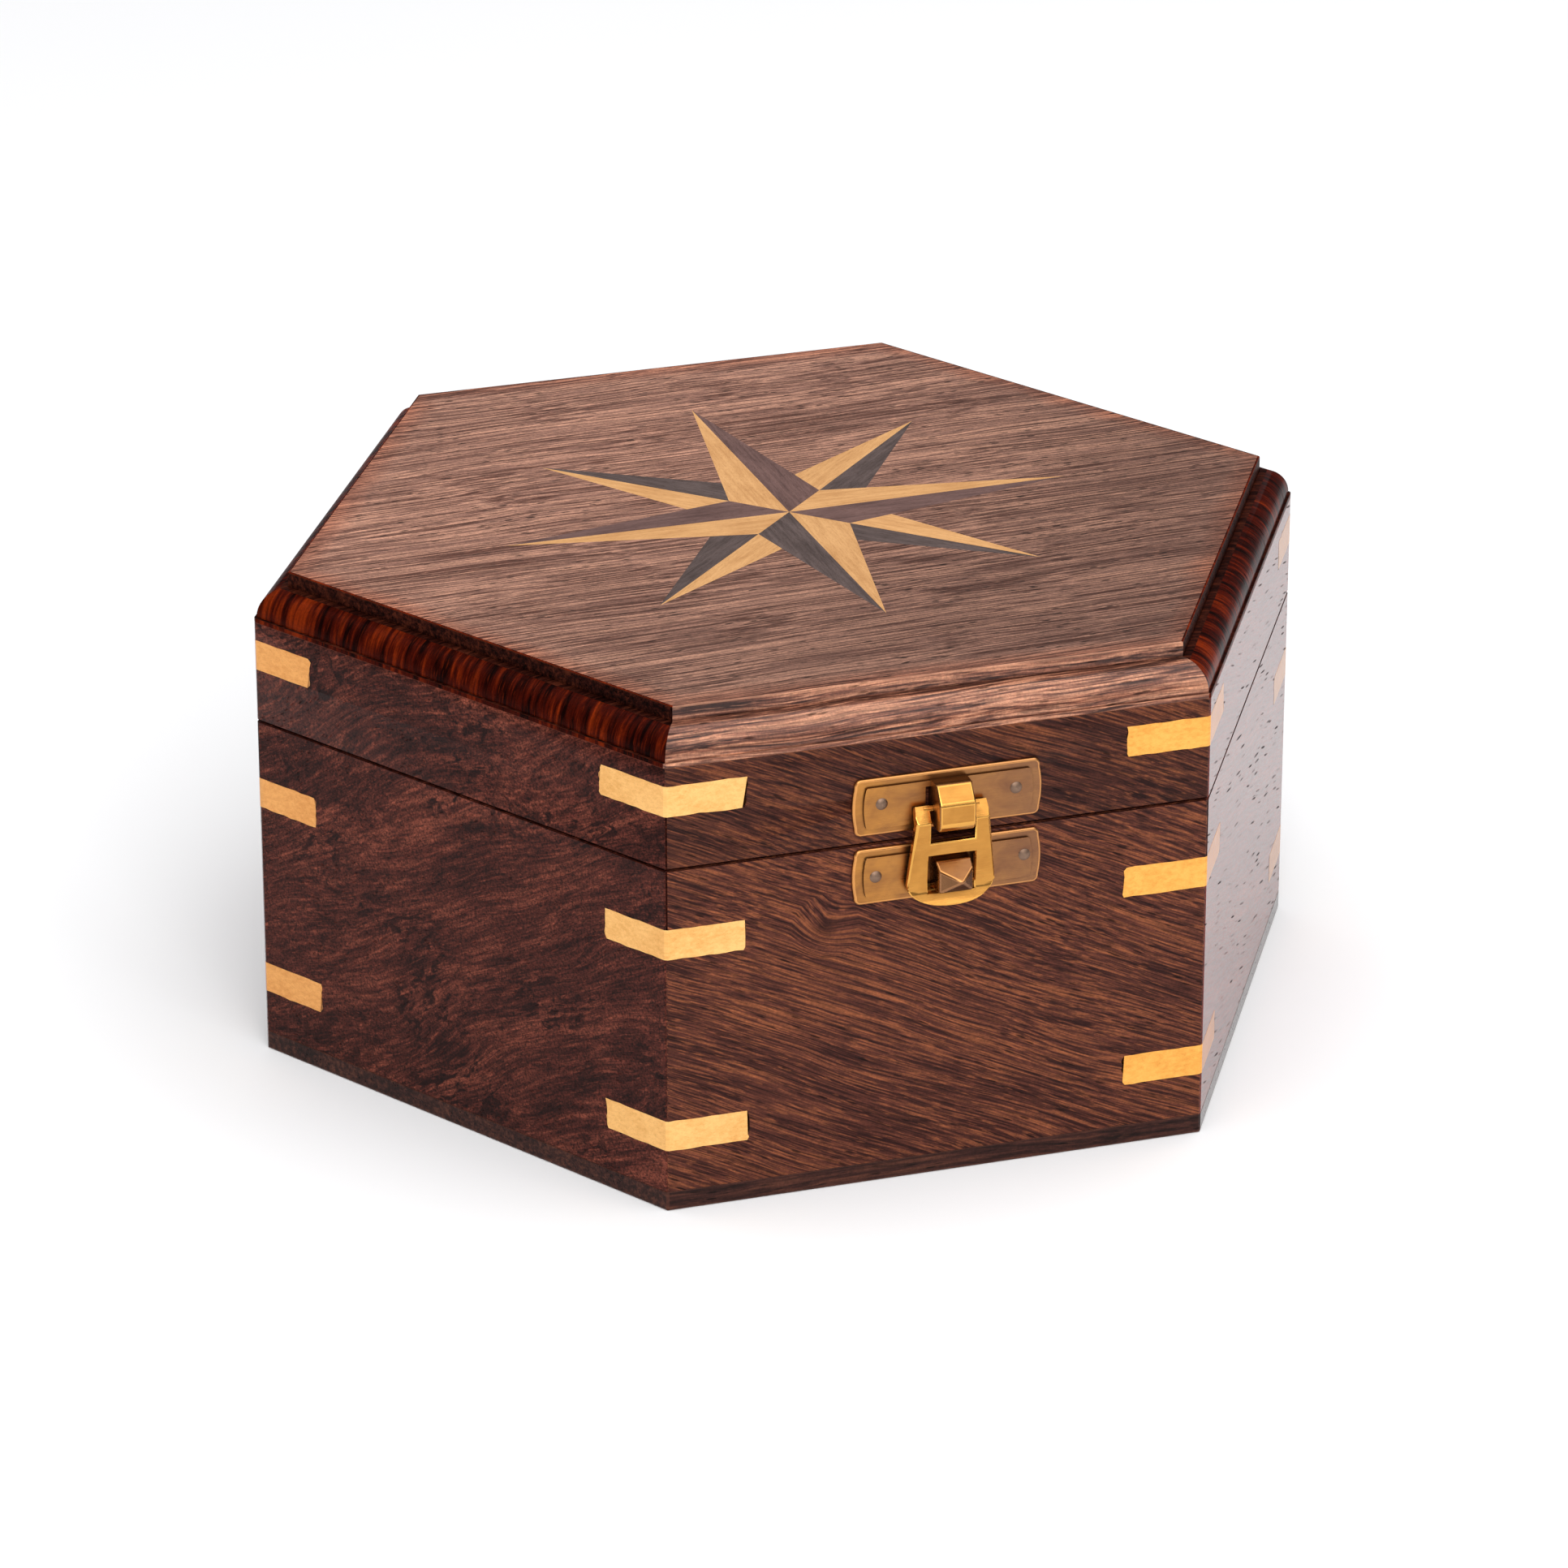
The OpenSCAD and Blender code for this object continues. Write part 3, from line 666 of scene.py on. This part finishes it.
for f in lid_board.faces:
    middle = f.calc_center_median()
    rise = (middle.z - LID_TOP) / MM
    if f.material_index == 0 and 0.001 < rise < thick - 0.005:
        side = int(math.degrees(math.atan2(middle.y, middle.x)) % 360 // 60)
        # the step and the ledge get painted shade, except on the latch side
        step = rise > SUNK_LINE and middle.z < TOP - 0.12 * MM
        dark = step or LEDGE_LOW < rise < LEDGE_HIGH
        f.material_index = 2 if dark and SIDES[side] != "front" else 3 + side
lid_panel = place_piece(lid_board, "lid_board_moulded", "lid", ["lid_top_panel"],
                        [top_wood, top_glue, painted_shade_wood, *edge_woods], smooth=24)
print("lid board triangles:", sum(len(p.vertices) - 2 for p in lid_panel.data.polygons))

# %% [markdown]
# ## The star
#
# Sixteen slim triangles, light and dark in turn, make a compass star that looks folded: every
# point is split down its middle. Each piece is cut a hair small, so that a dark line of glue
# shows round it. The light timber is a yellow one like maple. The dark ones are grey, and brown
# in three of the long points. The grain runs along each point, because a sliver cut across the
# grain would snap.

# %% Light and dark timber for small pieces
def fine_wood(name, pale, deep, facing=270, turn=0, shift=(0, 0, 0), on_top=False, strength=0.5,
              rough=(0.38, 0.5), gloss=0.15, sheen=0.0):
    look, tree, shader = new_look(name)
    place = tree.nodes.new("ShaderNodeTexCoord").outputs["Object"]
    grain = along_grain(tree, place, facing, turn, shift, on_top)
    lines = cloud(tree, stretched(tree, grain, 9, 0.6), 3.0, 0.6, 0.3)
    clouds = cloud(tree, stretched(tree, grain, 8, 4), 2.0, 0.5)
    tone = maths(tree, "MULTIPLY_ADD", lines, 0.6, maths(tree, "MULTIPLY", clouds, 0.4))
    colour = ramp(tree, tone, [(0.36, deep), (0.60, pale)])
    dots = cloud(tree, stretched(tree, grain, 0.9, 0.16), 1.0)
    colour = add_mix(tree, "MULTIPLY", strength, colour,
                     ramp(tree, dots, [(0.32, (0.62, 0.55, 0.48)), (0.5, (1, 1, 1))]))
    colour = add_mix(tree, "MIX", maths(tree, "MULTIPLY", wear_and_highlight_edge(tree), 0.5), colour,
                     [v * 0.45 for v in deep])
    tree.links.new(colour, shader.inputs["Base Color"])
    tree.links.new(grade(tree, lines, 0.3, 0.7, *rough), shader.inputs["Roughness"])
    relief = add(tree, "ShaderNodeBump", None, Height=maths(tree, "ADD", dots, lines),
                 Strength=0.25, Distance=0.00008)
    tree.links.new(relief, shader.inputs["Normal"])
    shader.inputs["Specular IOR Level"].default_value = gloss
    if sheen:
        film = grade(tree, low_angle(tree), 0.66, 0.8)
        tree.links.new(maths(tree, "MULTIPLY", film, sheen), shader.inputs["Coat Weight"])
        shader.inputs["Coat Roughness"].default_value = 0.25
        # painted reflection: seen from a low angle the colour is dulled and pinked, standing in for the
        # colour the sheen reflects
        colour = add_mix(tree, "MULTIPLY", film, colour, (0.62, 0.5, 0.6))
        tree.links.new(colour, shader.inputs["Base Color"])
    return look


STAR_TINTS = {"light": ((0.69, 0.375, 0.155), (0.54, 0.270, 0.102)),
              "grey": ((0.118, 0.084, 0.078), (0.062, 0.043, 0.039)),
              "brown": ((0.185, 0.104, 0.092), (0.104, 0.056, 0.050))}
BROWN_POINTS = ["north", "east", "west"]

# %% Cut the sixteen pieces
POINTS = [p for pair in zip(LONG, SHORT) for p in pair]
for k, point in enumerate(POINTS):
    for shade in ("light", "dark"):
        node = f"star_{point}_{shade}"
        piece = bmesh.new()
        face = piece.faces.new([piece.verts.new(v) for v in top_corners(node)])
        if face.normal.z < 0:
            face.normal_flip()
        rim = bmesh.ops.inset_individual(piece, faces=[face], thickness=GLUE_LINE * MM, depth=0,
                                         use_even_offset=True)["faces"]
        bmesh.ops.delete(piece, geom=rim, context="FACES")
        body = bmesh.ops.extrude_face_region(piece, geom=piece.faces[:])["geom"]
        down = [g for g in body if isinstance(g, bmesh.types.BMVert)]
        bmesh.ops.translate(piece, vec=(0, 0, -STAR_THICK * MM), verts=down)
        tint = "light" if shade == "light" else ("brown" if point in BROWN_POINTS else "grey")
        pale, deep = STAR_TINTS[tint]
        lift = random.Random(k * 7 + len(shade)).uniform(0.93, 1.06)
        look = fine_wood(f"{point} {shade} timber", [v * lift for v in pale],
                         [v * lift for v in deep], turn=45 * k, shift=(3 * k, 5 * k, 2 * k),
                         on_top=True, strength=0.35 if shade == "light" else 0.6)
        place_piece(piece, node + "_cut", "lid", [node], look)
print("star pieces cut:", 2 * len(POINTS))

# %% [markdown]
# ## Corner splines
#
# After the box was glued, a saw was run across every corner and a slip of pale wood was glued
# in each kerf and planed flush. It ties the mitre together. The saw leaves ragged ends, so the
# end lines here wander by a fraction of a millimetre and lean a little, and no two are alike.
# The spots of an end line are moved from the lowest up, so that every run cuts the same slips.

# %% Ragged slips of pale wood
SPLINE_PALE, SPLINE_DEEP = (0.93, 0.55, 0.19), (0.78, 0.41, 0.12)
SPLINE_HIGH = 5  # mm
SPLINE_PROUD = 1.00025
SPLINE_SANDED = 0.14  # mm off the corner, a hair less than the boards
SPLINE_TINTS = {"front_left": (1.0, 0.95, 0.95), "front_right": (1.0, 0.82, 0.52),
                "left": (0.9, 0.72, 0.65), "right": (0.9, 0.85, 0.8),
                "back_right": (0.92, 0.9, 0.9), "back_left": (0.88, 0.85, 0.8)}


def ragged(bm, corner, chance):
    """Let the sawn ends of the slips wander along the walls."""
    ends = [e for e in bm.edges if abs(e.verts[0].co.z - e.verts[1].co.z) > 1 * MM
            and (e.verts[0].co.xy - corner.xy).length > 2 * MM]
    for e in ends:
        low = min(v.co.z for v in e.verts)
        lean, offset = chance.uniform(-0.5, 0.5), chance.uniform(-0.25, 0.35)
        cuts = bmesh.ops.subdivide_edges(bm, edges=[e], cuts=9)["geom_inner"]
        line = {v for g in cuts for v in ([g] if isinstance(g, bmesh.types.BMVert) else g.verts)}
        line |= set(e.verts)
        for v in sorted(line, key=lambda v: v.co.z):
            share = (v.co.z - low) / (SPLINE_HIGH * MM) - 0.5
            away = v.co - corner
            away.z = 0
            away.normalize()
            round_off = -0.35 if abs(share) > 0.47 else 0.0
            v.co += away * (lean * share + offset + round_off + chance.gauss(0, 0.09)) * MM
    flats = [e for e in bm.edges if abs(e.verts[0].co.z - e.verts[1].co.z) < 0.01 * MM
             and min((v.co.xy - corner.xy).length for v in e.verts) < 0.01 * MM
             and e.calc_length() > 4 * MM]
    inner = bmesh.ops.subdivide_edges(bm, edges=flats, cuts=8)["geom_inner"]
    for v in [g for g in inner if isinstance(g, bmesh.types.BMVert)]:
        v.co.z += chance.gauss(0, 0.045) * MM


for c, name in enumerate(CORNERS):
    corner = Vector((CORNER * math.cos(math.pi / 3 * c), CORNER * math.sin(math.pi / 3 * c), 0))
    tint = SPLINE_TINTS[name]
    look = fine_wood(f"spline timber, {name}", [a * b for a, b in zip(SPLINE_PALE, tint)],
                     [a * b for a, b in zip(SPLINE_DEEP, tint)], facing=60 * c,
                     shift=(0, 9 * c, 4 * c), gloss=0.1, sheen=0.8, strength=0.25)
    for node, body in ((f"lower_splines_{name}", "box"), (f"lid_spline_{name}", "lid")):
        slips = cad_copy(node)
        ragged(slips, corner, random.Random(40 + c + 10 * (body == "lid")))
        bmesh.ops.scale(slips, vec=(SPLINE_PROUD, SPLINE_PROUD, 1), verts=slips.verts[:])
        sand_corners(slips, SPLINE_SANDED)
        place_piece(slips, node + "_ragged", body, [node], look)
print("splines cut:", 3 * len(CORNERS))

# %% [markdown]
# ## Brass
#
# The latch is stamped from sheet brass, tumbled and lacquered: a satin gold that is browner in
# the hollows, where the antiquing stays, and brighter on the edges, where it was rubbed off and
# where a painted highlight stands for the light that the edges catch.
# The hollows are found with an ambient occlusion node, which asks how closed-in a spot is.
# A pair of tints for the plates' left and right ends is a painted reflection: warmer and brighter on the
# left, cooler and darker on the right.

# %% The recipe for brass
def brass(name, gold, brown, rough=(0.26, 0.4), hollow=0.9, reach=1.6, blotch=0.5, shine=1.35,
          shift=(0, 0, 0), reflection_tints=None):
    look, tree, shader = new_look(name)
    shader.inputs["Metallic"].default_value = 1.0
    place = tree.nodes.new("ShaderNodeTexCoord").outputs["Object"]
    place = add(tree, "ShaderNodeMapping", {"vector_type": "TEXTURE"}, Vector=place,
                Location=[v * MM for v in shift])
    stain = cloud(tree, stretched(tree, place, 5, 3), 3.0, 0.6, 0.4)
    brushed = cloud(tree, stretched(tree, place, 5, 0.18), 2.0, 0.5)
    colour = add_mix(tree, "MIX", grade(tree, stain, 0.35, 0.72, 0, blotch), gold, brown)
    colour = add_mix(tree, "MULTIPLY", 0.25, colour,
                     ramp(tree, brushed, [(0.3, (0.7, 0.68, 0.62)), (0.7, (1.15, 1.12, 1.05))]))
    # painted reflection: the plates run from a warm bright left end to a cool darker right end
    if reflection_tints:
        sideways = make(tree, "ShaderNodeSeparateXYZ", None, Vector=place).outputs["X"]
        far = grade(tree, sideways, -13 * MM, 14 * MM)
        colour = add_mix(tree, "MULTIPLY", 1.0, colour,
                         ramp(tree, far, [(0.0, reflection_tints[0]), (1.0, reflection_tints[1])]))
    open_air = make(tree, "ShaderNodeAmbientOcclusion", {"samples": 8},
                    Distance=reach * MM).outputs["AO"]
    closed = grade(tree, open_air, 0.25, 0.85, hollow, 0.0)
    colour = add_mix(tree, "MIX", closed, colour, [v * 0.16 for v in brown])
    # the marked edges are lighter: rubbed wear, and a painted highlight where the edge would catch light
    colour = add_mix(tree, "MIX", maths(tree, "MULTIPLY", wear_and_highlight_edge(tree), 0.45), colour,
                     [min(1, v * shine) for v in gold])
    tree.links.new(colour, shader.inputs["Base Color"])
    tree.links.new(grade(tree, brushed, 0.3, 0.7, *rough), shader.inputs["Roughness"])
    pits = cloud(tree, stretched(tree, place, 0.35, 0.35), 2.0)
    relief = add(tree, "ShaderNodeBump", None, Height=maths(tree, "ADD", pits, brushed),
                 Strength=0.12, Distance=0.00005)
    tree.links.new(relief, shader.inputs["Normal"])
    return look


plate_brass = brass("plate brass", (0.36, 0.165, 0.054), (0.21, 0.092, 0.042), blotch=0.9, hollow=0.7,
                    reach=1.2, shine=2.6, reflection_tints=((1.35, 1.3, 1.0), (0.85, 0.88, 1.2)))
hasp_brass = brass("hasp brass", (0.58, 0.275, 0.062), (0.38, 0.155, 0.032), rough=(0.16, 0.28),
                   blotch=0.6, hollow=0.45, reach=0.8, shine=1.9, shift=(2, 1, 0))
# painted shade: the catch's brass is darker, for the shade on its lower facets; its upward facet gets a
# painted highlight
catch_brass = brass("catch brass", (0.22, 0.105, 0.048), (0.11, 0.05, 0.026), rough=(0.2, 0.3),
                    hollow=0.5, reach=1.0, shine=2.2)
# painted shade: a darker brass for the knuckle's top and sides and the step round the raised panel
dark_brass = brass("brass in shade", (0.15, 0.068, 0.022), (0.06, 0.026, 0.010),
                   rough=(0.25, 0.35), hollow=0.5, shine=4.0, shift=(3, 3, 0))
nail_brass = brass("nail metal", (0.27, 0.175, 0.125), (0.14, 0.085, 0.06), rough=(0.4, 0.55))
hinge_brass = brass("hinge brass", (0.50, 0.26, 0.09), (0.30, 0.14, 0.055), shift=(5, 5, 0))
brasses = (plate_brass, hasp_brass, catch_brass, dark_brass, nail_brass, hinge_brass)
print("metal finishes:", [m.name for m in brasses])

# %% [markdown]
# ## Latch and hinges
#
# The two plates, the catch and the hasp keep the frame's shapes. Only their edges change:
# stamping rolls them over, so they get rounder bevels than the wood does. The nails and the
# hinges' screws are eased a little too. A plate has three finishes: its own, the hasp's brighter
# brass on the front of the knuckle as a painted highlight, and a darker one as painted shade on
# the knuckle's top and sides and round the raised panel.

# %% Which edges are rounded
BAR_OUT, BAR_UP = 1.9, 62.9  # mm, where the pivot bar's middle lies
HASP_MIDDLE, HASP_HALF = 0.9, 5.2  # mm along the wall
HASP_LOW, HASP_HIGH = 50.5, 62  # mm, between which its sides are straight


def proud(v):
    """How far a spot stands out from the front wall, in mm."""
    return (-v.co.y - FLAT) / MM


def rolled_rim(e):
    return e.is_convex and all(0.5 < proud(v) < 0.7 for v in e.verts)


def convex(e):
    return e.is_convex


def from_bar(v):
    return math.hypot(proud(v) - BAR_OUT, v.co.z / MM - BAR_UP)


def bent_part(e):
    return all(proud(v) > 1.2 and from_bar(v) > 0.9 for v in e.verts)


def frame_outline(e):
    """The hasp's outer edges, on its front."""
    outside = all(abs(v.co.x - HASP_MIDDLE * MM) > HASP_HALF * MM
                  and HASP_LOW * MM < v.co.z < HASP_HIGH * MM and proud(v) > 2.2 for v in e.verts)
    return outside and e.is_convex and any(f.normal.y < -0.35 for f in e.link_faces)


def off_the_bar(e):
    return e.is_convex and all(from_bar(v) > 1.0 for v in e.verts)


# %% Which faces are brighter or darker
def plate_slots(bm):
    """1 for the knuckle's front, a painted highlight; 2 for painted shade on its top and sides and on
    the step round the raised panel.
    """
    for f in bm.faces:
        out = [proud(v) for v in f.verts]
        if min(out) > 0.9 and max(out) > 1.3:
            f.material_index = 2 if f.normal.z > 0.8 or abs(f.normal.x) > 0.6 else 1
        else:
            step = min(out) > 0.55 and max(out) < 1.05 and abs(f.normal.y) < 0.5
            f.material_index = 2 if step else 0


def catch_slots(bm):
    """1 for the facet of the catch's head that faces up: the brighter plate brass there is a painted
    highlight.
    """
    for f in bm.faces:
        upper = f.normal.z > 0.3 and f.normal.y < -0.3 and proud(f.verts[0]) > 4
        f.material_index = 1 if upper else 0


# %% [markdown]
# The list gives each metal node its body, slot and finish, and then the bevels it gets in turn:
# a width in mm, and the edges that it applies to. Bevels wider than 0.2 mm are rounded with three
# segments. Those narrower than 0.2 mm are held back where an edge is too short for them.

# %% Ease the metal
METAL = [
    ("latch_upper_plate", "lid", "latch_brass", plate_brass,
     [(0.42, bent_part), (0.42, rolled_rim), (0.1, convex)]),
    ("latch_lower_plate", "box", "latch_brass", plate_brass, [(0.42, rolled_rim), (0.1, convex)]),
    ("latch_catch", "box", "catch_brass", catch_brass, [(0.30, None)]),
    ("hasp", "hasp", "hasp_brass", hasp_brass, [(0.5, frame_outline), (0.2, off_the_bar)]),
    ("latch_upper_nails", "lid", "nail_metal", nail_brass, [(0.05, None)]),
    ("latch_lower_nails", "box", "nail_metal", nail_brass, [(0.05, None)]),
    ("hinge_body_screws", "box", "screw_brass", hinge_brass, [(0.04, None)]),
    ("hinge_lid_screws", "lid", "screw_brass", hinge_brass, [(0.04, None)]),
]
for hand in ("left", "right"):
    METAL += [(f"hinge_{hand}_body_leaf", "box", "hinge_brass", hinge_brass, [(0.12, None)]),
              (f"hinge_{hand}_lid_leaf", "lid", "hinge_brass", hinge_brass, [(0.12, None)]),
              (f"hinge_{hand}_pin", "box", "pin_brass", hinge_brass, [(0.12, None)])]
for node, body, slot, look, rounds in METAL:
    metal = cad_copy(node)
    bmesh.ops.recalc_face_normals(metal, faces=metal.faces[:])
    for width, pick in rounds:
        soften(metal, width, pick, segments=3 if width > 0.2 else 1, over=28, clamp=width < 0.2)
    bmesh.ops.recalc_face_normals(metal, faces=metal.faces[:])
    metal.normal_update()
    if "_plate" in node:
        plate_slots(metal)
        look = [plate_brass, hasp_brass, dark_brass]
    # painted light on the catch: its upward facet takes the brighter plate brass
    if node == "latch_catch":
        catch_slots(metal)
        look = [catch_brass, plate_brass]
    place_piece(metal, node + "_eased", body, [node], look, smooth=38, even=True)
print("metal pieces eased:", len(METAL))
